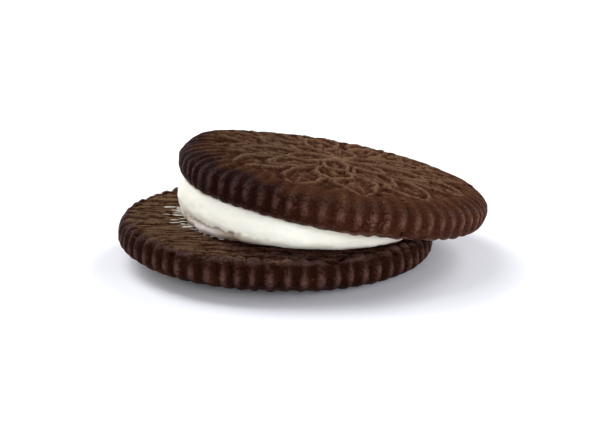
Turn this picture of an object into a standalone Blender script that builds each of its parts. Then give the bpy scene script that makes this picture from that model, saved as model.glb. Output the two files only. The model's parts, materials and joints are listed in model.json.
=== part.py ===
"""Chocolate sandwich cookie: two fluted cocoa wafers with a slab of vanilla creme between them.

The lower wafer lies on its embossed face. The upper wafer has slid sideways with the creme stuck to
it and has tipped over, so the creme is a wedge: thick at one side and squeezed to nothing where the
upper wafer bears on the rim of the lower one.

Metres, +Z up. X runs along the slide. The origin is on the surface that the cookie lies on, under
the middle of its box.
"""

import math

import bpy
from mathutils import Matrix, Vector

MM = 0.001
SLACK = 0.01 * MM  # points closer than this count as one, and rounding stays under it

# The wafer, in its own frame: the plain inner face lies at Z = 0 and the embossed face looks up.
WAFER_RADIUS = 22.5 * MM  # over the crests of the flutes
EDGE_HEIGHT = 5.2 * MM  # from the inner face to where the outer face starts
DOME_RISE = 0.45 * MM  # how much higher the middle of the outer face is
WIDEST_HEIGHT = 2.7 * MM  # height of the widest ring above the inner face
OUTER_ROUND = 5.2 * MM  # width of the rounded shoulder round the outer face
INNER_ROUND = 1.4 * MM  # width of the rounded corner round the inner face
FLUTES = 62
STEPS_PER_FLUTE = 3
FLUTE_DEPTH = 0.55 * MM
FLUTE_END_RADIUS = 18.6 * MM  # the flutes fade out here on the outer shoulder
FLUTE_FULL_RADIUS = 21.3 * MM  # and have their full depth from here outwards
OUTER_ROUND_STEPS = 4
INNER_ROUND_STEPS = 3

# The embossed rosette on the outer face: a plain boss with petals round it.
DOME_RINGS = 5
BOSS_RADIUS = 5.0 * MM
PETALS = 12
PETAL_MIDDLE = 12.0 * MM
PETAL_REACH = 5.5 * MM  # from the middle of a petal to its tips
RELIEF = 0.3 * MM

# How the wafers lie: tilts in degrees, positive when the +Y side (first) or the -X side is higher.
LOWER_TILT = (0.0, 1.6)
UPPER_TILT = (-3.0, 10.3)
LOWER_TURN = 0.7  # turn of the flutes about the wafer's own axis, in degrees
UPPER_TURN = -4.5
SLIDE = (7.8 * MM, 2.7 * MM)  # from the middle of the lower inner face to that of the upper one
CREME_MIDDLE = 2.25 * MM  # room between the inner faces at the middle of the upper one
FLAT_SPOT_DEPTH = 0.15 * MM  # what is flattened off the lowest point of the lower wafer

# The creme.
CREME_LAG = (-1.4 * MM, 0.4 * MM)  # from the middle of the upper wafer to the middle of the creme
CREME_RADIUS = 19.6 * MM
CREME_SUPPORT = 20.9 * MM  # it ends this far from the middle of the lower wafer
CREME_BULGE = 0.16  # how far its side stands out, as a share of its thickness there
CREME_THINNEST = 0.3 * MM
CREME_STEPS = 64
CREME_SIDE_ROWS = 4
CORNER_SHARPNESS = 16  # the higher, the tighter the bend where two limits of the creme meet
GAP = 0.2 * MM  # clearance between pieces that touch

SHARP_FOLD = 40  # degrees: edges that bend more than this are shaded sharp


def clear_scene():
    for obj in list(bpy.data.objects):
        bpy.data.objects.remove(obj, do_unlink=True)


def new_material(name, colour, roughness):
    material = bpy.data.materials.new(name)
    material.use_nodes = True
    shader = material.node_tree.nodes["Principled BSDF"]
    shader.inputs["Base Color"].default_value = (*colour, 1.0)
    shader.inputs["Roughness"].default_value = roughness
    shader.inputs["Metallic"].default_value = 0.0
    material.diffuse_color = (*colour, 1.0)
    return material


def turned_mesh(name, profile, steps):
    """Turn a profile of (radius, height) points about Z with a Screw modifier and return the mesh."""
    outline = bpy.data.meshes.new(name + "_profile")
    edges = [(i, i + 1) for i in range(len(profile) - 1)]
    outline.from_pydata([(radius, 0.0, height) for radius, height in profile], edges, [])
    turning = bpy.data.objects.new(name + "_turning", outline)
    bpy.context.scene.collection.objects.link(turning)
    screw = turning.modifiers.new("Turn", "SCREW")
    screw.steps = steps
    screw.render_steps = steps
    screw.use_merge_vertices = True
    screw.merge_threshold = SLACK
    graph = bpy.context.evaluated_depsgraph_get()
    mesh = bpy.data.meshes.new_from_object(turning.evaluated_get(graph))
    mesh.name = name
    bpy.data.objects.remove(turning, do_unlink=True)
    return mesh


def smoothstep(low, high, value):
    share = min(max((value - low) / (high - low), 0.0), 1.0)
    return share * share * (3.0 - 2.0 * share)


def wafer_profile():
    """Radius and height from the middle of the outer face, round the edge, to that of the inner face."""
    shoulder_start = WAFER_RADIUS - OUTER_ROUND
    points = [(0.0, EDGE_HEIGHT + DOME_RISE)]
    for ring in range(1, DOME_RINGS + 1):
        share = ring / DOME_RINGS
        points.append((shoulder_start * share, EDGE_HEIGHT + DOME_RISE * (1.0 - share**2)))
    for step in range(1, OUTER_ROUND_STEPS + 1):
        angle = math.pi / 2 * (1.0 - step / OUTER_ROUND_STEPS)
        height = WIDEST_HEIGHT + (EDGE_HEIGHT - WIDEST_HEIGHT) * math.sin(angle)
        points.append((shoulder_start + OUTER_ROUND * math.cos(angle), height))
    for step in range(1, INNER_ROUND_STEPS + 1):
        angle = math.pi / 2 * step / INNER_ROUND_STEPS
        radius = WAFER_RADIUS - INNER_ROUND * (1.0 - math.cos(angle))
        points.append((radius, WIDEST_HEIGHT * (1.0 - math.sin(angle))))
    points.append((0.0, 0.0))
    return points


def groove(angle):
    """0 on the crest of a flute and 1 in the sharp valley between two."""
    return 1.0 - abs(math.sin(FLUTES * angle / 2))


def rosette(radius, angle):
    """Height of the embossing at a point of the outer face."""
    if radius < BOSS_RADIUS:
        return RELIEF
    along = (radius - PETAL_MIDDLE) / PETAL_REACH
    return RELIEF * max(0.0, 1.0 - along**2) * abs(math.cos(PETALS * angle / 2))


def wafer_mesh(name):
    """A turned blank whose edge is fluted and whose outer face is embossed."""
    mesh = turned_mesh(name, wafer_profile(), FLUTES * STEPS_PER_FLUTE)
    core_radius = WAFER_RADIUS - OUTER_ROUND
    for vertex in mesh.vertices:
        x, y, z = vertex.co
        radius = math.hypot(x, y)
        angle = math.atan2(y, x)
        if radius < core_radius + SLACK:
            if z > WIDEST_HEIGHT:
                vertex.co.z += rosette(radius, angle)
            continue
        outwards = Vector((x, y, 0.0)).normalized()
        core = outwards * core_radius + Vector((0.0, 0.0, WIDEST_HEIGHT))
        on_outer_side = z > WIDEST_HEIGHT
        share = smoothstep(FLUTE_END_RADIUS, FLUTE_FULL_RADIUS, radius) if on_outer_side else 1.0
        inwards = (core - vertex.co).normalized()
        vertex.co += inwards * (FLUTE_DEPTH * share * groove(angle))
    return mesh


def tilted(tilt, place):
    """The matrix that tilts a wafer about its inner face's middle and puts that at a place."""
    about_x = Matrix.Rotation(math.radians(tilt[0]), 4, "X")
    about_y = Matrix.Rotation(math.radians(tilt[1]), 4, "Y")
    return Matrix.Translation(place) @ about_x @ about_y


def face_height(frame, x, y):
    """Height of a wafer's inner face over a point."""
    normal = frame.col[2]
    middle = frame.translation
    return middle.z - (normal.x * (x - middle.x) + normal.y * (y - middle.y)) / normal.z


def flatten_lowest_spot(mesh, matrix):
    """Press the lowest point of a mesh flat, level with the ground once the matrix has placed it."""
    back = matrix.inverted()
    placed = [matrix @ vertex.co for vertex in mesh.vertices]
    level = min(point.z for point in placed) + FLAT_SPOT_DEPTH
    for vertex, point in zip(mesh.vertices, placed):
        if point.z < level:
            vertex.co = back @ Vector((point.x, point.y, level))


def creme_room(lower, upper, point):
    """Room for creme between the inner faces over a point, less the clearance to each wafer."""
    return face_height(upper, *point) - face_height(lower, *point) - 2.0 * GAP


def creme_reach(angle, middle, lower, upper):
    """How far the creme reaches from its middle in one direction.

    It is a full circle, cut back where the lower wafer ends and where the wafers pinch it out.
    """
    direction = Vector((math.cos(angle), math.sin(angle)))
    offset = middle - lower.translation.xy
    along = offset.dot(direction)
    to_support = math.sqrt(along**2 + CREME_SUPPORT**2 - offset.length_squared) - along
    limits = [CREME_RADIUS, to_support]
    room_middle = creme_room(lower, upper, middle)
    thinning = (room_middle - creme_room(lower, upper, middle + direction * MM)) / MM
    if thinning > 0.0:
        limits.append((room_middle - CREME_THINNEST) / thinning)
    return sum(limit**-CORNER_SHARPNESS for limit in limits) ** (-1.0 / CORNER_SHARPNESS)


def creme_mesh(name, lower, upper):
    """A slab turned at unit size, then stretched to fill the wedge between the two inner faces."""
    side = [(1.0, 1.0 - row / CREME_SIDE_ROWS) for row in range(CREME_SIDE_ROWS + 1)]
    mesh = turned_mesh(name, [(0.0, 1.0)] + side + [(0.0, 0.0)], CREME_STEPS)
    middle = upper.translation.xy + Vector(CREME_LAG)
    for vertex in mesh.vertices:
        x, y, share = vertex.co
        angle = math.atan2(y, x)
        outwards = Vector((math.cos(angle), math.sin(angle)))
        foot = middle + outwards * math.hypot(x, y) * creme_reach(angle, middle, lower, upper)
        bulge = CREME_BULGE * creme_room(lower, upper, foot) * 4.0 * share * (1.0 - share)
        place = foot + outwards * bulge
        low = face_height(lower, *place) + GAP
        vertex.co = (place.x, place.y, low + creme_room(lower, upper, place) * share)
    return mesh


def add_piece(collection, frame, name, mesh, matrix, material):
    """An object in the cookie's frame, shaded smooth except at the fold of each flute."""
    mesh.materials.append(material)
    mesh.shade_smooth()
    mesh.set_sharp_from_angle(angle=math.radians(SHARP_FOLD))
    piece = bpy.data.objects.new(name, mesh)
    collection.objects.link(piece)
    piece.parent = frame
    piece.location = matrix.translation
    piece.rotation_euler = matrix.to_euler()
    return piece


def stand_on_origin(frame, pieces):
    """Move the frame so that the cookie's box stands on Z = 0 with its middle over the origin."""
    bpy.context.view_layer.update()
    points = [piece.matrix_world @ vertex.co for piece in pieces for vertex in piece.data.vertices]
    low = Vector([min(point[axis] for point in points) for axis in range(3)])
    high = Vector([max(point[axis] for point in points) for axis in range(3)])
    frame.location = (-(low.x + high.x) / 2, -(low.y + high.y) / 2, -low.z)


def build_cookie():
    clear_scene()
    collection = bpy.data.collections.new("chocolate_sandwich_cookie")
    bpy.context.scene.collection.children.link(collection)
    frame = bpy.data.objects.new("cookie_frame", None)
    collection.objects.link(frame)

    wafer_brown = new_material("cocoa_wafer", (0.075, 0.035, 0.022), 0.6)
    creme_white = new_material("vanilla_creme", (0.87, 0.85, 0.76), 0.5)

    lower = tilted(LOWER_TILT, Vector((0.0, 0.0, 0.0)))
    upper_height = face_height(lower, *SLIDE) + CREME_MIDDLE
    upper = tilted(UPPER_TILT, Vector((*SLIDE, upper_height)))

    upside_down = Matrix.Rotation(math.pi, 4, "X")
    lower_turned = lower @ upside_down @ Matrix.Rotation(math.radians(LOWER_TURN), 4, "Z")
    upper_turned = upper @ Matrix.Rotation(math.radians(UPPER_TURN), 4, "Z")

    lower_mesh = wafer_mesh("wafer_bottom")
    flatten_lowest_spot(lower_mesh, lower_turned)
    creme = creme_mesh("creme", lower, upper)
    pieces = [
        add_piece(collection, frame, "wafer_bottom", lower_mesh, lower_turned, wafer_brown),
        add_piece(collection, frame, "creme", creme, Matrix.Identity(4), creme_white),
        add_piece(collection, frame, "wafer_top", wafer_mesh("wafer_top"), upper_turned, wafer_brown),
    ]
    stand_on_origin(frame, pieces)


build_cookie()
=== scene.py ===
import json
import math
import random

import bpy
import numpy as np
from mathutils import Matrix, Vector, noise

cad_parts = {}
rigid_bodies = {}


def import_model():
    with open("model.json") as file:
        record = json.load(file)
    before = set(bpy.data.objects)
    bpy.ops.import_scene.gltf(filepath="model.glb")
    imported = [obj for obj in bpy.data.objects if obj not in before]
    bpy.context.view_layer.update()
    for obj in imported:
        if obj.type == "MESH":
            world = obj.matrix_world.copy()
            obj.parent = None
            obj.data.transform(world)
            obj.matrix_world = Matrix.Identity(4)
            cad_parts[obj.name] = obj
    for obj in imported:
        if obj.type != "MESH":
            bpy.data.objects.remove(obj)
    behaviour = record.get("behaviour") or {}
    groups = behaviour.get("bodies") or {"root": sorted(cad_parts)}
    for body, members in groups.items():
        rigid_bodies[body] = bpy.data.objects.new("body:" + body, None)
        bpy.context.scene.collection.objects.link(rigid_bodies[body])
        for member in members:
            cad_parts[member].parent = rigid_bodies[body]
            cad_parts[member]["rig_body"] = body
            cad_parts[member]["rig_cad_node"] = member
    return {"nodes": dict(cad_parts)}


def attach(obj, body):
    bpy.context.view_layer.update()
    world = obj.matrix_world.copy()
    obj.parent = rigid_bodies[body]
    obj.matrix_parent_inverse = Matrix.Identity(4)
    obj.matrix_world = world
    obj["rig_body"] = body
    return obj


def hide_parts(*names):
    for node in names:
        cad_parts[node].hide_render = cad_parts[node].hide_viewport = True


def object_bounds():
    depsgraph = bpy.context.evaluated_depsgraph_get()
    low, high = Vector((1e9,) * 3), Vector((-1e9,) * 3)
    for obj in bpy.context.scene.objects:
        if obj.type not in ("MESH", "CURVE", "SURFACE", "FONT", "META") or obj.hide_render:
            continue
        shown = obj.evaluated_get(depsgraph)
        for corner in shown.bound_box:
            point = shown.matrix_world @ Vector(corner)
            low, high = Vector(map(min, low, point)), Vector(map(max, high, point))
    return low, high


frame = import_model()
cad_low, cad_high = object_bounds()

# ---------------------------------------------------------------------------------------------
# The stand: a plain white sweep under the cookie, seven soft boxes round it, a pale wall behind it
# and a dim room. It isn't part of the object. The camera looks along +Y and a little down, as across
# a tabletop.
# ---------------------------------------------------------------------------------------------
MM = 0.001
TOUCHING = 0.001 * MM  # vertices this close together are merged


def linear(colour):
    """An sRGB hex colour as the linear RGBA that a shader takes."""
    shares = [int(colour[place:place + 2], 16) / 255 for place in (1, 3, 5)]
    toned = [s / 12.92 if s <= 0.04045 else ((s + 0.055) / 1.055) ** 2.4 for s in shares]
    return (*toned, 1.0)


def add_node(tree, kind, inputs=None, **settings):
    """Add a node. inputs maps a socket to its value, or to the output that feeds it."""
    node = tree.nodes.new(kind)
    for name, value in settings.items():
        setattr(node, name, value)
    for socket, value in (inputs or {}).items():
        if isinstance(value, bpy.types.NodeSocket):
            tree.links.new(value, node.inputs[socket])
        else:
            node.inputs[socket].default_value = value
    return node


def new_material(name):
    """A material with only its output node."""
    material = bpy.data.materials.new(name)
    material.use_nodes = True
    tree = material.node_tree
    tree.nodes.remove(tree.nodes["Principled BSDF"])
    return material, tree, tree.nodes["Material Output"]


SWEEP_SIZE = 1.0
SWEEP_TONE, SWEEP_ROUGHNESS, SWEEP_SPECULAR = "#f3f4fa", 0.9, 0.2

bpy.ops.object.select_all(action="DESELECT")
bpy.ops.mesh.primitive_plane_add(size=SWEEP_SIZE, location=(0.0, 0.0, cad_low[2]))
sweep = bpy.context.object
sweep.name = "sweep"
paper, tree, output = new_material("matt white paper sweep")
surface = add_node(tree, "ShaderNodeBsdfPrincipled", {
    "Base Color": linear(SWEEP_TONE), "Roughness": SWEEP_ROUGHNESS,
    "Specular IOR Level": SWEEP_SPECULAR})
tree.links.new(surface.outputs["BSDF"], output.inputs["Surface"])
sweep.data.materials.append(paper)

AIM = Vector((0.383, 0.641, 5.612)) * MM
CAMERA_DISTANCE, NEAR_LIMIT = 300 * MM, 10 * MM
CAMERA_ELEVATION = 15.5  # degrees
LENS, SENSOR = 122.6, 36.0

elevation = math.radians(CAMERA_ELEVATION)
seat = AIM + Vector((0.0, -math.cos(elevation), math.sin(elevation))) * CAMERA_DISTANCE
bpy.ops.object.camera_add(location=seat, rotation=(math.pi / 2 - elevation, 0.0, 0.0))
camera = bpy.context.object
camera.data.lens = LENS
camera.data.sensor_width = SENSOR
camera.data.clip_start = NEAR_LIMIT
bpy.context.scene.camera = camera
bpy.context.scene.view_settings.view_transform = "Standard"

ROOM_TONE = "#f4f6fa"
ROOM_STRENGTH, WALL_STRENGTH = 0.1, 1.0
WALL_TOP, ROOM_START = 0.07, 0.11  # the lit wall fades into the dim room between these slopes
room = bpy.data.worlds.new("dim room with a lit wall")
bpy.context.scene.world = room
room.use_nodes = True
tree = room.node_tree
direction = add_node(tree, "ShaderNodeTexCoord").outputs["Generated"]
slope = add_node(tree, "ShaderNodeSeparateXYZ", {"Vector": direction}).outputs["Z"]
strength = add_node(tree, "ShaderNodeMapRange", {
    "Value": slope, "From Min": WALL_TOP, "From Max": ROOM_START,
    "To Min": WALL_STRENGTH, "To Max": ROOM_STRENGTH})
tree.nodes["Background"].inputs["Color"].default_value = linear(ROOM_TONE)
tree.links.new(strength.outputs["Result"], tree.nodes["Background"].inputs["Strength"])


SOFT_BOX_SIZE = 0.35
WHITE, COOL_WHITE = "#ffffff", "#fafaff"


def add_soft_box(name, place, power, tone):
    """A square soft box that faces the cookie."""
    bpy.ops.object.light_add(type="AREA", location=place)
    light = bpy.context.object
    light.name = name
    light.rotation_euler = (AIM - Vector(place)).to_track_quat("-Z", "Y").to_euler()
    light.data.size = SOFT_BOX_SIZE
    light.data.energy = power
    light.data.color = linear(tone)[:3]


add_soft_box("overhead soft box", (-0.19, 0.24, 0.52), 1.4, WHITE)
add_soft_box("back left soft box", (-0.35, 0.35, 0.34), 2.6, WHITE)
add_soft_box("back right soft box", (0.35, 0.35, 0.34), 2.5, WHITE)
add_soft_box("left soft box", (-0.58, 0.0, 0.155), 1.1, WHITE)
add_soft_box("right soft box", (0.58, 0.0, 0.155), 1.2, COOL_WHITE)
add_soft_box("front right soft box", (0.41, -0.41, 0.155), 1.75, COOL_WHITE)
add_soft_box("front soft box", (0.0, -0.58, 0.155), 1.6, WHITE)

# ---------------------------------------------------------------------------------------------
# Cocoa wafers: two like biscuits, baked hard from dark cocoa dough that a die stamped out. The die
# fluted the edge and pressed a rosette in the outer face; the oven band scored the inner face. A
# blank is spun here in its own place, inner face down on Z = 0, and both wafers are made from it.
# ---------------------------------------------------------------------------------------------
WAFER_RADIUS = 22.5 * MM
EDGE_HEIGHT = 5.2 * MM  # from the inner face to where the outer face starts
DOME_RISE = 0.45 * MM  # how much higher the middle of the outer face is
WIDEST_HEIGHT = 2.7 * MM
OUTER_ROUND = 5.2 * MM  # width of the rounded shoulder
INNER_ROUND = 1.4 * MM  # width of the rounded corner round the inner face
FLUTES = 62
STEPS_PER_FLUTE = 8
SHOULDER_START = WAFER_RADIUS - OUTER_ROUND
INNER_FLAT = WAFER_RADIUS - INNER_ROUND
OUTER_RINGS, SHOULDER_RINGS, CORNER_RINGS, SCORED_RINGS, MIDDLE_RINGS = 88, 34, 20, 38, 14
SCORED_START = 12.0 * MM  # the inner face is finely meshed from here outwards


def wafer_outline():
    """Radius and height, from the middle of the outer face round the edge to that of the inner."""
    points = []
    for ring in range(OUTER_RINGS):
        share = ring / OUTER_RINGS
        points.append((SHOULDER_START * share, EDGE_HEIGHT + DOME_RISE * (1.0 - share**2)))
    for ring in range(SHOULDER_RINGS):
        turn = math.pi / 2 * ring / SHOULDER_RINGS
        points.append((SHOULDER_START + OUTER_ROUND * math.sin(turn),
                       WIDEST_HEIGHT + (EDGE_HEIGHT - WIDEST_HEIGHT) * math.cos(turn)))
    for ring in range(CORNER_RINGS):
        turn = math.pi / 2 * ring / CORNER_RINGS
        points.append((WAFER_RADIUS - INNER_ROUND * (1.0 - math.cos(turn)),
                       WIDEST_HEIGHT * (1.0 - math.sin(turn))))
    for ring in range(SCORED_RINGS):
        points.append((INNER_FLAT + (SCORED_START - INNER_FLAT) * ring / SCORED_RINGS, 0.0))
    for ring in range(MIDDLE_RINGS):
        points.append((SCORED_START * (1.0 - ring / MIDDLE_RINGS), 0.0))
    return points + [(0.0, 0.0)]


def spin_blank(name, outline, steps):
    """Draw an outline by extruding one point along it, and spin it round Z into a closed blank."""
    bpy.ops.object.select_all(action="DESELECT")
    bpy.ops.mesh.primitive_circle_add(vertices=3, radius=MM)
    blank = bpy.context.object
    blank.name = name
    bpy.ops.object.mode_set(mode="EDIT")
    bpy.ops.mesh.select_all(action="SELECT")
    bpy.ops.mesh.merge(type="CENTER")
    corners = [Vector((radius, 0.0, height)) for radius, height in outline]
    bpy.ops.transform.translate(value=corners[0])
    for corner, following in zip(corners, corners[1:]):
        bpy.ops.mesh.extrude_region_move(TRANSFORM_OT_translate={"value": following - corner})
    bpy.ops.mesh.select_all(action="SELECT")
    bpy.ops.mesh.spin(steps=steps, angle=2 * math.pi, center=(0.0, 0.0, 0.0), axis=(0.0, 0.0, 1.0))
    bpy.ops.mesh.select_all(action="SELECT")
    bpy.ops.mesh.remove_doubles(threshold=TOUCHING)
    bpy.ops.mesh.normals_make_consistent(inside=False)
    bpy.ops.object.mode_set(mode="OBJECT")
    return blank


def read_points(piece):
    """The piece's vertices, one row each, in millimetres, as are the shaping sizes from here on."""
    flat = np.empty(len(piece.data.vertices) * 3, np.float32)
    piece.data.vertices.foreach_get("co", flat)
    return flat.reshape(-1, 3).astype(float) / MM


def write_points(piece, points):
    piece.data.vertices.foreach_set("co", (points * MM).astype(np.float32).ravel())
    piece.data.update()


def set_shares(piece, name, values):
    """Store a value from 0 to 1 for each vertex, for the material to read."""
    layer = piece.data.attributes.get(name) or piece.data.attributes.new(name, "FLOAT", "POINT")
    layer.data.foreach_set("value", np.clip(values, 0.0, 1.0).astype(np.float32))


def get_shares(piece, name):
    values = np.empty(len(piece.data.vertices), np.float32)
    piece.data.attributes[name].data.foreach_get("value", values)
    return values


def rise(low, high, value):
    """A smooth step from 0 at low to 1 at high."""
    share = np.clip((value - low) / (high - low), 0.0, 1.0)
    return share * share * (3.0 - 2.0 * share)


def ridge(distance, width):
    """1 along a line, falling to nothing about a width away from it."""
    return np.exp(-((distance / width) ** 2))


def lumps(points, size, seed):
    """Smooth noise from about -1 to 1, with lumps of a size in millimetres."""
    shift = Vector((17.3, 5.1, 9.7)) * seed
    scale = 1.0 / size
    return np.array([2.0 * noise.noise(Vector(point) * scale + shift) for point in points])


FLUTE_END, FLUTE_FULL = 18.6, 21.2  # radii between which the flutes grow on the outer shoulder
LONG_FLUTES_AT, LONG_FLUTES_WIDTH = 190.0, 50.0  # degrees
LONG_FLUTES_REACH = 2.8  # how much further in they start there
TONGUE_END = 19.9  # where their other ends run out on the inner face
WOBBLE = 0.12  # how far the flutes wander, as a share of their pitch
LIP_AT, LIP_WIDTH = 20.9, 0.7  # the flutes' ends stand up round the inner face
PITS_AT, PITS_WIDTH = 20.1, 0.35  # and between them the dough tore into small pits


def long_flutes(x, y):
    """1 where the flutes run furthest in over the outer shoulder, falling to nothing elsewhere."""
    bearing = (np.degrees(np.arctan2(y, x)) - LONG_FLUTES_AT) % 360
    return ridge(np.minimum(bearing, 360.0 - bearing), LONG_FLUTES_WIDTH)


def press_flutes(points, deep, corner, lip, seed):
    """Push the grooves of the fluted edge into the blank. Returns points and how deep each lies.

    deep is their depth, corner the share of it that is left at the inner face's corner, and lip is how
    far the flutes' ends stand above that face.
    """
    x, y, z = points.T
    radius, angle = np.hypot(x, y), np.arctan2(y, x)
    bearing = np.stack([np.cos(angle), np.sin(angle), angle * 0.0], axis=1)
    wheel = 10.0 * bearing  # noise on it is the same all the way across the edge
    phase = FLUTES * angle / (2 * math.pi) + WOBBLE * lumps(wheel, 2.6, seed)
    groove = 0.6 * (1.0 - np.abs(np.sin(math.pi * phase))) + 0.4 * np.cos(math.pi * phase) ** 2
    depth = deep * (1.0 + 0.3 * lumps(wheel, 1.7, seed + 1))
    fading = 0.45 * lumps(wheel, 1.1, seed + 2) + 0.8 * lumps(bearing, 0.9, seed + 3)
    outer = rise(FLUTE_END, FLUTE_FULL, radius + fading + LONG_FLUTES_REACH * long_flutes(x, y))
    inner = rise(TONGUE_END, INNER_FLAT / MM, radius + 0.4 * fading)
    inner *= corner + (1.0 - corner) * rise(0.1, 2.2, z)
    share = np.where(z > WIDEST_HEIGHT / MM, outer, inner)
    core = bearing * (SHOULDER_START / MM)
    core[:, 2] = WIDEST_HEIGHT / MM
    inwards = core - points
    inwards /= np.maximum(np.linalg.norm(inwards, axis=1), 0.01)[:, None]
    pressed = points + inwards * (depth * share * groove)[:, None]
    on_inner_face = z < 0.5 * WIDEST_HEIGHT / MM
    ends = (1.0 - groove) * ridge(radius - LIP_AT, LIP_WIDTH)
    torn = groove**3 * (0.6 + 0.6 * lumps(wheel, 0.8, seed)) * ridge(radius - PITS_AT, PITS_WIDTH)
    pressed[:, 2] -= np.where(on_inner_face, lip * ends, 0.0)
    pressed[:, 2] += np.where(on_inner_face, 3.0 * lip * np.clip(torn, 0.0, 1.0), 0.0)
    return pressed, share * groove


BUTTON = 1.7
PETAL_RINGS = (  # count, where they start and end, half their width, turn in pitches: front last
    (12, 8.8, 19.2, 2.8, 0.5),
    (9, 4.6, 13.6, 2.4, 0.25),
    (6, 1.2, 8.2, 2.0, 0.5),
)
GROUND = 0.25
OUTLINE, TROUGH_AT, TROUGH = 0.3, 0.75, 0.25
VEIN_PITCH, VEIN_SLANT, VEIN_WIDTH = 0.95, 0.12, 0.2
DIMPLES, DIMPLE_AT, DIMPLE_RADIUS, DIMPLE_DEPTH = 16, 17.6, 0.65, 1.1


def rosette(x, y):
    """Height of the embossed rosette, from 0 in its ground to 1 on the petals' outlines."""
    radius, angle = np.hypot(x, y), np.arctan2(y, x)
    height = np.full(len(x), GROUND)
    for count, start, end, half_width, turn in PETAL_RINGS:
        pitch = 2 * math.pi / count
        local = (angle + pitch * (turn + 0.5)) % pitch - pitch / 2
        along = radius * np.cos(local) - (start + end) / 2
        across = np.abs(radius * np.sin(local))
        half_length = (end - start) / 2
        arc = (half_length**2 + half_width**2) / (2 * half_width)
        outside = np.hypot(across + arc - half_width, along) - arc
        vein = (across + VEIN_SLANT * along) % VEIN_PITCH - VEIN_PITCH / 2
        blade = 0.05 + 0.3 * rise(-0.4, -half_width, outside) + 0.25 * ridge(vein, VEIN_WIDTH)
        blade = np.maximum(blade, 0.6 * ridge(across, OUTLINE))
        inside = rise(0.1, -0.2, outside)
        height = height * (1.0 - inside) + blade * inside
        height = np.maximum(height, ridge(outside, OUTLINE))
        height -= TROUGH * ridge(outside - TROUGH_AT, OUTLINE)
    button = rise(BUTTON, BUTTON - 0.5, radius)
    height = height * (1.0 - button) + 0.9 * button
    pitch = 2 * math.pi / DIMPLES
    local = (angle + pitch / 2) % pitch - pitch / 2
    spot = np.hypot(radius * np.cos(local) - DIMPLE_AT, radius * np.sin(local))
    return height - DIMPLE_DEPTH * ridge(spot, DIMPLE_RADIUS)


SCORE_PITCH, SCORE_WIDTH, FINE_SCORE_WIDTH = 2.4, 0.27, 0.16
SCORE_DEPTH = 0.7


def drawn_out(points, share):
    """Points squeezed along X to a share, so that lumps on them are drawn out that way."""
    return points * np.array((share, 1.0, 1.0))


def scoring(points, seed):
    """Depth of the lines that the oven band left across the inner face, about 0 to 1."""
    stretched = drawn_out(points, 0.22)
    across = (points[:, 1] + 0.7 * lumps(stretched, 2.6, seed)) / SCORE_PITCH
    broad = ridge(((across + 0.5) % 1.0 - 0.5) * SCORE_PITCH, SCORE_WIDTH)
    third = 3.0 * across + 0.8 * lumps(stretched, 1.6, seed + 1)
    fine = ridge(((third + 0.5) % 1.0 - 0.5) * SCORE_PITCH / 3.0, FINE_SCORE_WIDTH)
    worn = np.clip(0.8 + 0.7 * lumps(drawn_out(points, 0.4), 2.2, seed + 2), 0.1, 1.3)
    patchy = np.clip(0.5 + 0.9 * lumps(drawn_out(points, 0.35), 1.1, seed + 3), 0.0, 1.0)
    lines = np.maximum(broad * worn, 0.6 * fine * patchy)
    rough = 0.12 * lumps(drawn_out(points, 0.5), 0.7, seed + 4)
    return 0.9 * lines + 0.2 * np.cos(math.pi * across) ** 2 + rough


def copy_piece(source, name):
    """A copy of a piece, with its own mesh."""
    bpy.ops.object.select_all(action="DESELECT")
    source.select_set(True)
    bpy.context.view_layer.objects.active = source
    bpy.ops.object.duplicate()
    piece = bpy.context.object
    piece.name = name
    piece.data.name = name
    return piece


def swell(piece, lump_sizes, basis):
    """Raise soft lumps all over a piece. lump_sizes gives their widths and heights."""
    for size, strength in lump_sizes:
        texture = bpy.data.textures.new(f"{piece.name} lumps {size} mm", "CLOUDS")
        texture.noise_scale = size * MM
        texture.noise_basis = basis
        swelling = piece.modifiers.new("Swelling", "DISPLACE")
        swelling.texture = texture
        swelling.texture_coords = "LOCAL"
        swelling.strength = strength * MM
        bpy.ops.object.modifier_apply(modifier=swelling.name)


RELIEF, RELIEF_ZERO = 0.66, 0.35  # height of the rosette, and the share of it that lies level
LOWEST, HIGHEST = -0.6, 0.95  # shares between which the rosette is kept
PLAIN_BAND = 19.6  # the rosette ends at this radius
FACE_BLEND, RELIEF_FADE = 1.6, 3.6  # widths over which its tones, and its height, run out before that
BENT, BEND_LENGTH = 0.4, 3.4  # how far its lines stray, and over what length
SCORED_END, SCORED_FULL = 22.3, 21.5  # radii between which the scoring of the inner face runs out
RIM_START, RIM_FULL = 20.0, 22.3  # radii between which the outer face's tones turn to the edge's
INNER_RIM_START, INNER_RIM_FULL = 20.6, 21.4  # the same, of the inner face
SWOLLEN_AT, SWOLLEN_WIDTH = 160.0, 18.0  # degrees: where the outer shoulder rose more
HIGHLIGHT_HEIGHT, HIGHLIGHT_WIDTH = 2.6, 1.1  # height on the edge where the flutes' crests get a painted highlight
EDGE_CREST, GROOVE_CREST, CREST_SHARPNESS = 0.32, 0.25, 2.2  # of the edge, of its grooves, painted as shade, and how narrow the painted highlights are
FACE_CREST, INNER_CREST, SCORE_CREST = 0.08, 1.12, 1.3  # of the two faces, and how much darker the scored lines are painted, as shade
DOUGH_LUMPS = ((5.0, 0.35), (1.7, 0.18), (0.8, 0.08))


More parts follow.
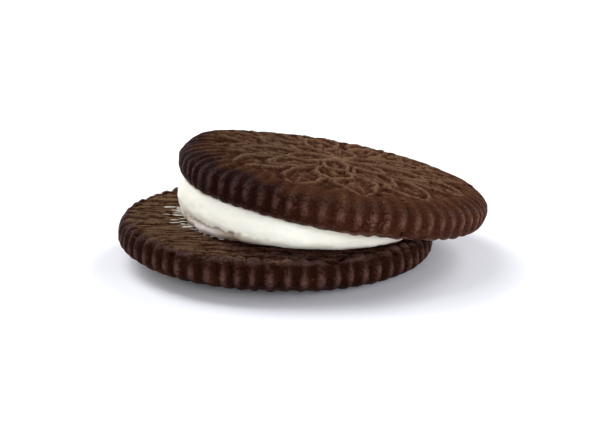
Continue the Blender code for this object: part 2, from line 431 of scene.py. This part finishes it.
def bake_wafer(name, blank, seed, swelling, deep, corner, lip, highlight_and_shade):
    """Copy the blank, press flutes, rosette and scoring into it and let it rise unevenly.

    swelling is how far its shoulder rose at one place, deep, corner and lip are as in press_flutes, and
    the last is how strongly highlights and shade are painted on the flutes' crests and grooves, 0 to 1.
    """
    wafer = copy_piece(blank, name)
    flat = read_points(wafer)
    x, y, z = flat.T
    radius, far_in = np.hypot(x, y), long_flutes(x, y)
    outer_half, inner_side = z > WIDEST_HEIGHT / MM, z < 0.5 * WIDEST_HEIGHT / MM
    outer_face = rise(PLAIN_BAND, PLAIN_BAND - FACE_BLEND, radius + far_in) * outer_half
    inner_face = rise(SCORED_END, SCORED_FULL, radius) * inner_side

    pressed, groove = press_flutes(flat, deep, corner, lip, seed)
    bend = np.stack([lumps(flat, BEND_LENGTH, seed + 7), lumps(flat, BEND_LENGTH, seed + 8)], axis=1)
    relief = rosette(*(flat[:, :2] + BENT * bend).T) + 0.10 * lumps(flat, 0.9, seed + 9)
    relief += 0.35 * (np.abs(lumps(flat, 1.5, seed + 11)) - 0.35)
    relief = np.clip(relief, LOWEST, HIGHEST)
    fading = rise(PLAIN_BAND, PLAIN_BAND - RELIEF_FADE, radius)
    pressed[:, 2] += RELIEF * outer_face * fading * (relief - RELIEF_ZERO)
    score = scoring(flat, seed + 5)
    pressed[:, 2] += SCORE_DEPTH * inner_face * score
    off_swelling = np.degrees(np.arctan2(y, x)) - SWOLLEN_AT
    shoulder = rise(12.0, 18.0, radius) * rise(2.7, 4.5, z)
    pressed[:, 2] += swelling * ridge(off_swelling, SWOLLEN_WIDTH) * shoulder
    write_points(wafer, pressed)

    # Painted light for the tones: a highlight on the flutes' crests at mid-height and along the long
    # flutes, with painted shade in the grooves and above and below it.
    painted_highlight = 0.35 + 0.75 * ridge(z - HIGHLIGHT_HEIGHT, HIGHLIGHT_WIDTH)
    painted_highlight = np.maximum(painted_highlight, 0.95 * far_in * rise(2.7, 4.0, z))
    crest = EDGE_CREST + highlight_and_shade * (painted_highlight * (1.0 - groove) ** CREST_SHARPNESS - GROOVE_CREST)
    # Painted light and shade on the faces: the rosette's raised lines are painted lighter and its
    # hollows darker, and the scored lines darker.
    crest += outer_face * (relief + FACE_CREST - crest)
    crest += inner_face * (INNER_CREST - SCORE_CREST * score - crest)
    outer_reach = radius + 1.2 * lumps(flat, 3.0, seed + 10) + 1.6 * far_in
    inner_reach = radius + 0.5 * lumps(flat, 1.2, seed + 12)
    rim = np.where(outer_half, rise(RIM_START, RIM_FULL, outer_reach),
                   rise(INNER_RIM_START, INNER_RIM_FULL, inner_reach))
    set_shares(wafer, "crest", crest)
    set_shares(wafer, "rim", rim)
    set_shares(wafer, "scored", inner_face * (1.0 - rim))
    swell(wafer, DOUGH_LUMPS, "ORIGINAL_PERLIN")
    return wafer


def inner_face_frame(node):
    """The place of a wafer's inner face: its middle, X along the cookie's X, Z into the wafer."""
    mesh = frame["nodes"][node].data
    areas = {}
    for face in mesh.polygons:
        key = tuple(round(share, 2) for share in face.normal)
        total, weighted, normal = areas.get(key, (0.0, Vector(), face.normal.copy()))
        areas[key] = (total + face.area, weighted + face.center * face.area, normal)
    total, weighted, normal = max(areas.values(), key=lambda entry: entry[0])
    inwards = -normal
    along = (Vector((1.0, 0.0, 0.0)) - inwards * inwards.x).normalized()
    axes = Matrix((along, inwards.cross(along), inwards)).transposed()
    return Matrix.Translation(weighted / total) @ axes.to_4x4()


def settle(piece, matrix):
    """Put a finished mesh in its place, and leave its object unturned at the origin."""
    bpy.ops.object.select_all(action="DESELECT")
    piece.select_set(True)
    bpy.context.view_layer.objects.active = piece
    piece.matrix_world = matrix
    bpy.ops.object.transform_apply(location=True, rotation=True, scale=True)
    points = read_points(piece)
    points[:, 2] = np.maximum(points[:, 2], cad_low[2] / MM)
    write_points(piece, points)
    bpy.ops.object.shade_smooth()


wafer_blank = spin_blank("wafer_blank", wafer_outline(), FLUTES * STEPS_PER_FLUTE)

# Baked dark cocoa biscuit: dry and finely porous, so it scatters a weak, broken sheen. Its crests are
# painted paler and greyer, partly flour and wear and partly painted highlights, and its grooves and
# hollows are painted nearly black red-brown as shade. The baked skin is crackled in patches, flecked
# with redder dough, and scratched where the oven band dragged on it. Its real grains, pores and
# scratches are finer, and are drawn as coarse as they need to show.
MOTTLE, CRACKLE, GRAIN, PORES = 3.0 * MM, 1.3 * MM, 0.55 * MM, 0.28 * MM
SCRATCH_LENGTH, SCRATCH_WIDTH = 3.0 * MM, 0.35 * MM
FLECKS = 0.7 * MM
MOTTLE_SHARE, GRAIN_SHARE, PORES_SHARE = 0.8, 0.7, 0.7  # of the way from hollow to crest
HOLLOW_TONE, CREST_TONE = 0.75, 2.2  # sums of crest and patterns with the darkest and palest tones
COCOA_IOR, COCOA_SPECULAR, FACE_ROUGHNESS, EDGE_ROUGHNESS = 1.45, 0.015, 1.0, 0.4
BUMP_STRENGTH, BUMP_DEPTH = 0.9, 0.4 * MM

cocoa, tree, output = new_material("baked dark cocoa biscuit")
place = add_node(tree, "ShaderNodeTexCoord").outputs["Object"]
crest = add_node(tree, "ShaderNodeAttribute", attribute_name="crest").outputs["Fac"]
rim = add_node(tree, "ShaderNodeAttribute", attribute_name="rim").outputs["Fac"]
scored = add_node(tree, "ShaderNodeAttribute", attribute_name="scored").outputs["Fac"]
# The paleness share: on the upper wafer it is painted light, paler towards +X; on the lower, its own
# tone.
bake_and_light = add_node(tree, "ShaderNodeAttribute", attribute_name="bake_and_light").outputs["Fac"]
mottle = add_node(tree, "ShaderNodeTexNoise", {
    "Vector": place, "Scale": 1.0 / MOTTLE, "Detail": 3.0, "Roughness": 0.6}).outputs["Fac"]
grain = add_node(tree, "ShaderNodeTexNoise", {
    "Vector": place, "Scale": 1.0 / GRAIN, "Detail": 2.0, "Roughness": 0.6}).outputs["Fac"]
pores = add_node(tree, "ShaderNodeTexNoise", {
    "Vector": place, "Scale": 1.0 / PORES, "Detail": 1.0, "Roughness": 0.5}).outputs["Fac"]
# The tone sums the crest share, which holds painted highlights and painted shade as well as wear, and
# the real mottle, grain and pores.
worn = crest
for pattern, share in ((mottle, MOTTLE_SHARE), (grain, GRAIN_SHARE), (pores, PORES_SHARE)):
    worn = add_node(tree, "ShaderNodeMath", {0: pattern, 1: share, 2: worn},
                    operation="MULTIPLY_ADD").outputs[0]
seams = add_node(tree, "ShaderNodeTexVoronoi", {
    "Vector": place, "Scale": 1.0 / CRACKLE}, feature="DISTANCE_TO_EDGE").outputs["Distance"]
crackle = add_node(tree, "ShaderNodeMapRange", {
    "Value": seams, "From Min": 0.0, "From Max": 0.09, "To Min": -0.5, "To Max": 0.0})
cracked = add_node(tree, "ShaderNodeMapRange", {
    "Value": mottle, "From Min": 0.5, "From Max": 0.62}).outputs["Result"]
worn = add_node(tree, "ShaderNodeMath", {0: crackle.outputs["Result"], 1: cracked, 2: worn},
                operation="MULTIPLY_ADD").outputs[0]
drawn = add_node(tree, "ShaderNodeMapping", {
    "Vector": place, "Scale": (1.0 / SCRATCH_LENGTH, 1.0 / SCRATCH_WIDTH, 1.0 / SCRATCH_WIDTH)})
scratches = add_node(tree, "ShaderNodeTexNoise", {
    "Vector": drawn.outputs["Vector"], "Scale": 1.0, "Detail": 2.0}).outputs["Fac"]
scratches = add_node(tree, "ShaderNodeMapRange", {
    "Value": scratches, "From Min": 0.36, "From Max": 0.5, "To Min": -0.75, "To Max": 0.08})
scratches = add_node(tree, "ShaderNodeMath", {0: scratches.outputs["Result"], 1: scored},
                     operation="MULTIPLY").outputs[0]
worn = add_node(tree, "ShaderNodeMath", {0: worn, 1: scratches}, operation="ADD").outputs[0]
tone = add_node(tree, "ShaderNodeMapRange", {
    "Value": worn, "From Min": HOLLOW_TONE, "From Max": CREST_TONE}).outputs["Result"]


def cocoa_tones(dark, middle, light):
    """The cocoa's colour from its hollows to its worn crests."""
    ramp = add_node(tree, "ShaderNodeValToRGB", {"Fac": tone})
    ramp.color_ramp.elements[0].color = linear(dark)
    ramp.color_ramp.elements[1].color = linear(light)
    ramp.color_ramp.elements.new(0.5).color = linear(middle)
    return ramp.outputs["Color"]


# The faces' tones are paler and greyer than the edge's, partly the cocoa's own tone and partly painted
# sheen of the grazing view; the edge's palest, mauve-grey tones are painted highlights.
face_tone = add_node(tree, "ShaderNodeMixRGB", {
    "Fac": bake_and_light, "Color1": cocoa_tones("#1a0a05", "#3c2417", "#624d3b"),
    "Color2": cocoa_tones("#1e0b06", "#44291a", "#6c533f")})
rim_tone = add_node(tree, "ShaderNodeMixRGB", {
    "Fac": bake_and_light, "Color1": cocoa_tones("#0c0200", "#200c07", "#4a3432"),
    "Color2": cocoa_tones("#170803", "#3a1f14", "#62483e")})
colour = add_node(tree, "ShaderNodeMixRGB", {
    "Fac": rim, "Color1": face_tone.outputs["Color"], "Color2": rim_tone.outputs["Color"]})
flecks = add_node(tree, "ShaderNodeTexNoise", {
    "Vector": place, "Scale": 1.0 / FLECKS, "Detail": 1.0}).outputs["Fac"]
flecks = add_node(tree, "ShaderNodeMapRange", {
    "Value": flecks, "From Min": 0.68, "From Max": 0.78, "To Min": 0.0, "To Max": 0.45})
colour = add_node(tree, "ShaderNodeMixRGB", {
    "Fac": flecks.outputs["Result"], "Color1": colour.outputs["Color"], "Color2": linear("#5a3019")})
height = add_node(tree, "ShaderNodeMath", {0: pores, 1: 0.8, 2: grain}, operation="MULTIPLY_ADD")
rough = add_node(tree, "ShaderNodeMapRange", {"Value": rim, "To Min": 0.25, "To Max": 0.7})
height = add_node(tree, "ShaderNodeMath", {0: height.outputs[0], 1: rough.outputs["Result"]},
                  operation="MULTIPLY")
height = add_node(tree, "ShaderNodeMath", {0: scratches, 1: 0.4, 2: height.outputs[0]},
                  operation="MULTIPLY_ADD")
bump = add_node(tree, "ShaderNodeBump", {
    "Height": height.outputs[0], "Strength": BUMP_STRENGTH, "Distance": BUMP_DEPTH})
dryness = add_node(tree, "ShaderNodeMapRange", {
    "Value": rim, "To Min": FACE_ROUGHNESS, "To Max": EDGE_ROUGHNESS})
surface = add_node(tree, "ShaderNodeBsdfPrincipled", {
    "Base Color": colour.outputs["Color"], "Roughness": dryness.outputs["Result"],
    "Normal": bump.outputs["Normal"], "IOR": COCOA_IOR, "Specular IOR Level": COCOA_SPECULAR})
tree.links.new(surface.outputs["BSDF"], output.inputs["Surface"])

# ---------------------------------------------------------------------------------------------
# Lower wafer: it lies upside down on its rosette, so its scored inner face looks up. The strip of it
# in front of the creme is painted darker and redder, as the shade that the creme and upper wafer cast.
# ---------------------------------------------------------------------------------------------
LOWER_TURN = 0.7  # degrees, of the flutes about the wafer's own axis
lower_place = inner_face_frame("wafer_bottom")
wafer_bottom = bake_wafer(
    "cookie_wafer_bottom", wafer_blank, seed=3, swelling=0.0, deep=0.6, corner=0.8, lip=0.16,
    highlight_and_shade=0.8)
settle(wafer_bottom, lower_place @ Matrix.Rotation(math.radians(LOWER_TURN), 4, "Z"))

CREME_MIDDLE, CREME_RADIUS = np.array((2.47, 1.70)), 19.6
STRIP_SHADE_END, STRIP_SHADE_FULL = 26.0, 22.6  # distances from the middle of the creme
STRIP_SHADE_START, STRIP_SHADE_WELL = -18.0, -6.0  # places along X

points = read_points(wafer_bottom)
rim_share = get_shares(wafer_bottom, "rim")
from_creme = np.hypot(*(points[:, :2] - CREME_MIDDLE).T)
# Painted shade: beside the creme the wafer's tones are darkened and turned to the edge's darker ones.
painted_shade = rise(STRIP_SHADE_END, STRIP_SHADE_FULL, from_creme) * rise(STRIP_SHADE_START, STRIP_SHADE_WELL, points[:, 0])
darkened = 1.0 - 0.4 * painted_shade * (1.0 - rim_share)
set_shares(wafer_bottom, "crest", get_shares(wafer_bottom, "crest") * darkened)
set_shares(wafer_bottom, "bake_and_light", 0.6 - 0.4 * rim_share)
set_shares(wafer_bottom, "rim", np.maximum(rim_share, painted_shade))
wafer_bottom.data.materials.append(cocoa)
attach(wafer_bottom, "root")
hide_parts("wafer_bottom")

# ---------------------------------------------------------------------------------------------
# Creme: a soft slab of sugar and fat, stamped out and pressed between the wafers. The upper wafer's
# tipping squeezed it to a wedge, so its side bulges where it is thick. As it slid, its foot dragged
# on the lower wafer and was smeared out to a thin film, with a fold above it.
# ---------------------------------------------------------------------------------------------
CREME_GROWTH, CREME_GRAIN = 0.16 * MM, 0.22 * MM
CREME_LUMPS = ((6.0, 0.25), (1.8, 0.10))

creme = copy_piece(frame["nodes"]["creme"], "cookie_creme")
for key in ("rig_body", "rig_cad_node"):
    del creme[key]
bpy.ops.object.parent_clear(type="CLEAR_KEEP_TRANSFORM")
bpy.ops.object.mode_set(mode="EDIT")
bpy.ops.mesh.select_all(action="SELECT")
bpy.ops.mesh.remove_doubles(threshold=TOUCHING)
bpy.ops.transform.shrink_fatten(value=CREME_GROWTH)
bpy.ops.object.mode_set(mode="OBJECT")
soft = creme.modifiers.new("Soft", "REMESH")
soft.mode = "VOXEL"
soft.voxel_size = CREME_GRAIN
bpy.ops.object.modifier_apply(modifier=soft.name)
smooth = creme.modifiers.new("Smooth", "SMOOTH")
smooth.factor = 0.5
smooth.iterations = 12
bpy.ops.object.modifier_apply(modifier=smooth.name)
swell(creme, CREME_LUMPS, "BLENDER_ORIGINAL")

SIDE_START, SIDE_FULL = 12.0, 17.0  # reaches between which the shaping of the side sets in
FOOT_AT, FOOT_WIDTH, FOOT_SPREAD = 238.0, 30.0, 0.45  # degrees, degrees, mm
FOOT_TOP, FOOT_FADE = 0.6, 1.6  # height up to which the foot spreads fully, and how it fades above
SMEAR_AT, SMEAR_WIDTH, SMEAR_REACH = 219.0, 21.0, 0.65  # as FOOT's, of the smeared foot
SMEAR_TOP, SMEAR_FULL, RAGGEDNESS = 1.4, 0.6, 0.4  # its heights, and how unevenly it ends
FILM_TOP, FILM_FULL = 1.7, 0.9  # heights between which the smear turns from creme through a painted shade under its fold to a film thin enough to show the wafer
FOLD_HEIGHT, FOLD_DEPTH, FOLD_WIDTH = 1.4, 0.3, 0.4
EDGE_TUCK, TUCK_HEIGHT = 0.5, 0.5  # how far the lower edge curls in, and over what height
TUCK_START, TUCK_FULL = 222.0, 240.0
FOOT_UNEVENNESS, CREASES = 0.3, 0.05  # as a share of the spread, and in mm
LEFT_SHADE_AT, LEFT_SHADE_WIDTH = 196.0, 26.0  # degrees: where its left end is painted darker and warmer, as shade
# Painted shade on the creme: darker and warmer at the left end, and darker across the front right.
FRONT_RIGHT_SHADE_START, FRONT_RIGHT_SHADE_FULL = 255.0, 285.0
LEFT_SHADE, FRONT_RIGHT_SHADE = 0.14, 0.16

points = read_points(creme)
above = np.array(lower_place.inverted())
height = -((points * MM) @ above[:3, :3].T + above[:3, 3])[:, 2] / MM
away = points[:, :2] - CREME_MIDDLE
reach = np.hypot(*away.T)
bearing = np.degrees(np.arctan2(away[:, 1], away[:, 0])) % 360
side = rise(SIDE_START, SIDE_FULL, reach)
above_foot = np.maximum(height - FOOT_TOP, 0.0)
spread = FOOT_SPREAD * ridge(bearing - FOOT_AT, FOOT_WIDTH) * ridge(above_foot, FOOT_FADE)
smeared = ridge(bearing - SMEAR_AT, SMEAR_WIDTH)
spread += SMEAR_REACH * smeared * rise(SMEAR_TOP, SMEAR_FULL, height)
spread -= FOLD_DEPTH * smeared * ridge(height - FOLD_HEIGHT, FOLD_WIDTH)
spread += RAGGEDNESS * smeared * lumps(points, 0.6, 24) * rise(0.6, 0.2, height)
spread -= EDGE_TUCK * ridge(height, TUCK_HEIGHT) * rise(TUCK_START, TUCK_FULL, bearing)
spread *= 1.0 + FOOT_UNEVENNESS * lumps(points, 1.6, 21)
spread += CREASES * lumps(points * np.array((0.35, 0.35, 1.0)), 0.7, 22)  # fine and level
points[:, :2] += (spread * side)[:, None] * away / np.maximum(reach, 1.0)[:, None]
write_points(creme, points)
# Halfway down, the smear passes through the brownish tone: painted shade under its fold.
smear = smeared * rise(FILM_TOP, FILM_FULL, height + 0.2 * lumps(points, 0.9, 23))
# Painted shade on the creme's side, carried in the same share as the thin smear.
creme_shade = LEFT_SHADE * ridge(bearing - LEFT_SHADE_AT, LEFT_SHADE_WIDTH)
creme_shade += FRONT_RIGHT_SHADE * rise(FRONT_RIGHT_SHADE_START, FRONT_RIGHT_SHADE_FULL, bearing)
set_shares(creme, "thin_and_shade", np.maximum(smear, creme_shade))
creme.data.materials.clear()
bpy.ops.object.shade_smooth()

# Vanilla creme: whipped fat and icing sugar. Soft off-white, a little light comes through it, and
# the fat gives a broad weak gloss. Where it is smeared thin it turns greyish as the wafer shows
# through. A brownish tone is painted as shade under the smear's fold, at the slab's left end and
# on its front right, and the thin streaks take a little of it. Its sugar is finer than it is drawn,
# so that it shows.
SUGAR = 0.6 * MM
CREME_DARK, CREME_LIGHT, STAIN_AND_SHADE_TONE, THIN_FILM = "#f1efe1", "#faf9ef", "#7d6a50", "#aea49f"
CREME_ROUGHNESS, GLOW_SHARE, GLOW_DEPTH = 0.5, 0.35, 0.8 * MM

vanilla, tree, output = new_material("whipped vanilla creme")
place = add_node(tree, "ShaderNodeTexCoord").outputs["Object"]
sugar = add_node(tree, "ShaderNodeTexNoise", {
    "Vector": place, "Scale": 1.0 / SUGAR, "Detail": 3.0}).outputs["Fac"]
colour = add_node(tree, "ShaderNodeValToRGB", {"Fac": sugar})
colour.color_ramp.elements[0].color = linear(CREME_DARK)
colour.color_ramp.elements[1].color = linear(CREME_LIGHT)
bump = add_node(tree, "ShaderNodeBump", {"Height": sugar, "Strength": 0.25, "Distance": 0.1 * MM})
thin_and_shade = add_node(tree, "ShaderNodeAttribute", attribute_name="thin_and_shade").outputs["Fac"]
# Up to half way the share mixes in a brownish tone: painted shade under the smear's fold, at the left
# end and on the front right, and a little on the thin streaks. Beyond that the thin film turns greyish.
stain_and_shade = add_node(tree, "ShaderNodeMapRange", {"Value": thin_and_shade, "From Min": 0.0, "From Max": 0.5})
creme_colour = add_node(tree, "ShaderNodeMixRGB", {
    "Fac": stain_and_shade.outputs["Result"], "Color1": colour.outputs["Color"],
    "Color2": linear(STAIN_AND_SHADE_TONE)})
film = add_node(tree, "ShaderNodeMapRange", {"Value": thin_and_shade, "From Min": 0.5, "From Max": 1.0})
creme_colour = add_node(tree, "ShaderNodeMixRGB", {
    "Fac": film.outputs["Result"], "Color1": creme_colour.outputs["Color"],
    "Color2": linear(THIN_FILM)})
surface = add_node(tree, "ShaderNodeBsdfPrincipled", {
    "Base Color": creme_colour.outputs["Color"], "Roughness": CREME_ROUGHNESS,
    "Normal": bump.outputs["Normal"], "Subsurface Weight": GLOW_SHARE,
    "Subsurface Radius": (1.0, 0.8, 0.6), "Subsurface Scale": GLOW_DEPTH})
tree.links.new(surface.outputs["BSDF"], output.inputs["Surface"])
creme.data.materials.append(vanilla)
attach(creme, "root")
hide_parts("creme")

# ---------------------------------------------------------------------------------------------
# Upper wafer: stuck to the creme, slid sideways and tipped over it, with its rosette looking up.
# ---------------------------------------------------------------------------------------------
UPPER_TURN = -4.5  # degrees
PAINTED_LIGHT_START, PAINTED_LIGHT_FULL = -9.0, 8.0  # places along X between which it is painted paler, as painted light from the +X side

upper_place = inner_face_frame("wafer_top")
wafer_top = bake_wafer(
    "cookie_wafer_top", wafer_blank, seed=11, swelling=0.55, deep=0.45, corner=0.4, lip=0.05,
    highlight_and_shade=0.6)
settle(wafer_top, upper_place @ Matrix.Rotation(math.radians(UPPER_TURN), 4, "Z"))
# Painted light: the upper wafer is painted paler towards +X, as if more light falls on that side.
set_shares(wafer_top, "bake_and_light", rise(PAINTED_LIGHT_START, PAINTED_LIGHT_FULL, read_points(wafer_top)[:, 0]))
wafer_top.data.materials.append(cocoa)
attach(wafer_top, "root")
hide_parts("wafer_top")

bpy.data.objects.remove(wafer_blank, do_unlink=True)

# ---------------------------------------------------------------------------------------------
# Creme streaks: thin white smears that the sliding creme wiped onto the ridge tops of the lower
# wafer, along the ridges, and small dabs that it left along its foot. Each one is a flattened blob.
# ---------------------------------------------------------------------------------------------
STREAKS, DABS = 84, 22
STREAK_FIELD = (-9.0, 3.6)  # from where to where they lie along Y, in mm
STREAK_START, STREAK_SCATTER = 0.1, 1.0  # how far in under the slab they start, and how they thin out
STREAK_LENGTH, STREAK_WIDTH, STREAK_DEPTH = (0.25, 0.9), (0.06, 0.15), 0.06  # half sizes
DAB_BEARINGS = (203.0, 230.0)  # the dabs lie along the slab's foot between these, in degrees
DAB_REACH, DAB_SCATTER = 0.3, (-0.5, 0.4)  # how far out from the slab's foot
DAB_LENGTH, DAB_WIDTH, DAB_DEPTH = (0.15, 0.45), (0.1, 0.25), (0.06, 0.12)
STREAKS_THIN = 0.2
FAR_OFF = 40.0  # clear of the cookie on every side: rays start there to find a wafer's surface


def join_pieces(name, parts):
    """Join parts into one piece."""
    bpy.ops.object.select_all(action="DESELECT")
    for part in parts:
        part.select_set(True)
    bpy.context.view_layer.objects.active = parts[0]
    bpy.ops.object.join()
    piece = bpy.context.object
    piece.name = name
    piece.data.name = name
    bpy.ops.object.shade_smooth()
    return piece


def new_blob(shape, place, unevenness, seed):
    """A lumpy ball stretched to half sizes in mm, at a place in mm."""
    bpy.ops.mesh.primitive_ico_sphere_add(subdivisions=3, radius=MM)
    blob = bpy.context.object
    points = read_points(blob)
    points *= (1.0 + unevenness * lumps(points * 1.1, 1.0, seed))[:, None]
    write_points(blob, points * np.array(shape) + np.array(place))
    return blob


def surface_below(piece, x, y):
    """Height in mm of the piece's surface straight below a point."""
    place = piece.ray_cast(Vector((x, y, FAR_OFF)) * MM, Vector((0.0, 0.0, -1.0)))[1]
    return place.z / MM


chance = random.Random(4)
streaks = []
for number in range(STREAKS):
    y = chance.uniform(*STREAK_FIELD)
    slab_edge = CREME_MIDDLE[0] - math.sqrt(CREME_RADIUS**2 - (y - CREME_MIDDLE[1])**2)
    x = slab_edge + STREAK_START - abs(chance.gauss(0.0, STREAK_SCATTER))
    shape = (chance.uniform(*STREAK_LENGTH), chance.uniform(*STREAK_WIDTH), STREAK_DEPTH)
    place = (x, y, surface_below(wafer_bottom, x, y))
    streaks.append(new_blob(shape, place, unevenness=0.5, seed=number))
for number in range(DABS):
    bearing = math.radians(chance.uniform(*DAB_BEARINGS))
    reach = CREME_RADIUS + DAB_REACH + chance.uniform(*DAB_SCATTER)
    x, y = CREME_MIDDLE[0] + reach * math.cos(bearing), CREME_MIDDLE[1] + reach * math.sin(bearing)
    shape = (chance.uniform(*DAB_LENGTH), chance.uniform(*DAB_WIDTH), chance.uniform(*DAB_DEPTH))
    place = (x, y, surface_below(wafer_bottom, x, y))
    streaks.append(new_blob(shape, place, unevenness=0.6, seed=100 + number))
creme_streaks = join_pieces("cookie_creme_streaks", streaks)
set_shares(creme_streaks, "thin_and_shade", np.full(len(creme_streaks.data.vertices), STREAKS_THIN))
creme_streaks.data.materials.append(vanilla)
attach(creme_streaks, "root")

# ---------------------------------------------------------------------------------------------
# Crumbs: grains that broke off the wafers' edges when the cookie was pulled apart, and stuck on.
# ---------------------------------------------------------------------------------------------
FACE_CRUMBS, FACE_CRUMBS_REACH = 12, 14.0
RIM_CRUMBS, RIM_CRUMB_BEARINGS, RIM_CRUMB_HEIGHTS = 9, (-70.0, 20.0), (-1.5, 1.5)
CRUMB_SIZE, CRUMB_NARROWING, CRUMB_FLATNESS = (0.12, 0.26), (0.6, 1.0), 0.6
CRUMB_UNEVENNESS = 0.6


def surface_inwards(piece, middle, turn, height):
    """The point of the piece's surface at a bearing and height, seen from outside."""
    outwards = Vector((math.cos(turn), math.sin(turn), 0.0))
    start = middle + outwards * FAR_OFF * MM + Vector((0.0, 0.0, height * MM))
    hit, place = piece.ray_cast(start, -outwards)[:2]
    return place if hit else None


wafers = ((wafer_top, upper_place), (wafer_bottom, lower_place))
crumbs = []
for number in range(FACE_CRUMBS):
    turn, distance = chance.uniform(0.0, 2 * math.pi), FACE_CRUMBS_REACH * math.sqrt(chance.random())
    wafer, middle = chance.choice(wafers)
    x = middle.translation.x / MM + distance * math.cos(turn)
    y = middle.translation.y / MM + distance * math.sin(turn)
    size = chance.uniform(*CRUMB_SIZE)
    shape = (size, size * chance.uniform(*CRUMB_NARROWING), size * CRUMB_FLATNESS)
    place = (x, y, surface_below(wafer, x, y))
    crumbs.append(new_blob(shape, place, CRUMB_UNEVENNESS, seed=number))
for number in range(RIM_CRUMBS):
    turn = math.radians(chance.uniform(*RIM_CRUMB_BEARINGS))
    wafer, middle = chance.choice(wafers)
    height = chance.uniform(*RIM_CRUMB_HEIGHTS)
    place = surface_inwards(wafer, middle.translation, turn, height)
    if place is not None:
        size = chance.uniform(*CRUMB_SIZE)
        crumbs.append(new_blob((size, size, size), place / MM, CRUMB_UNEVENNESS, seed=50 + number))
cookie_crumbs = join_pieces("cookie_crumbs", crumbs)
cookie_crumbs.data.materials.append(cocoa)
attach(cookie_crumbs, "root")
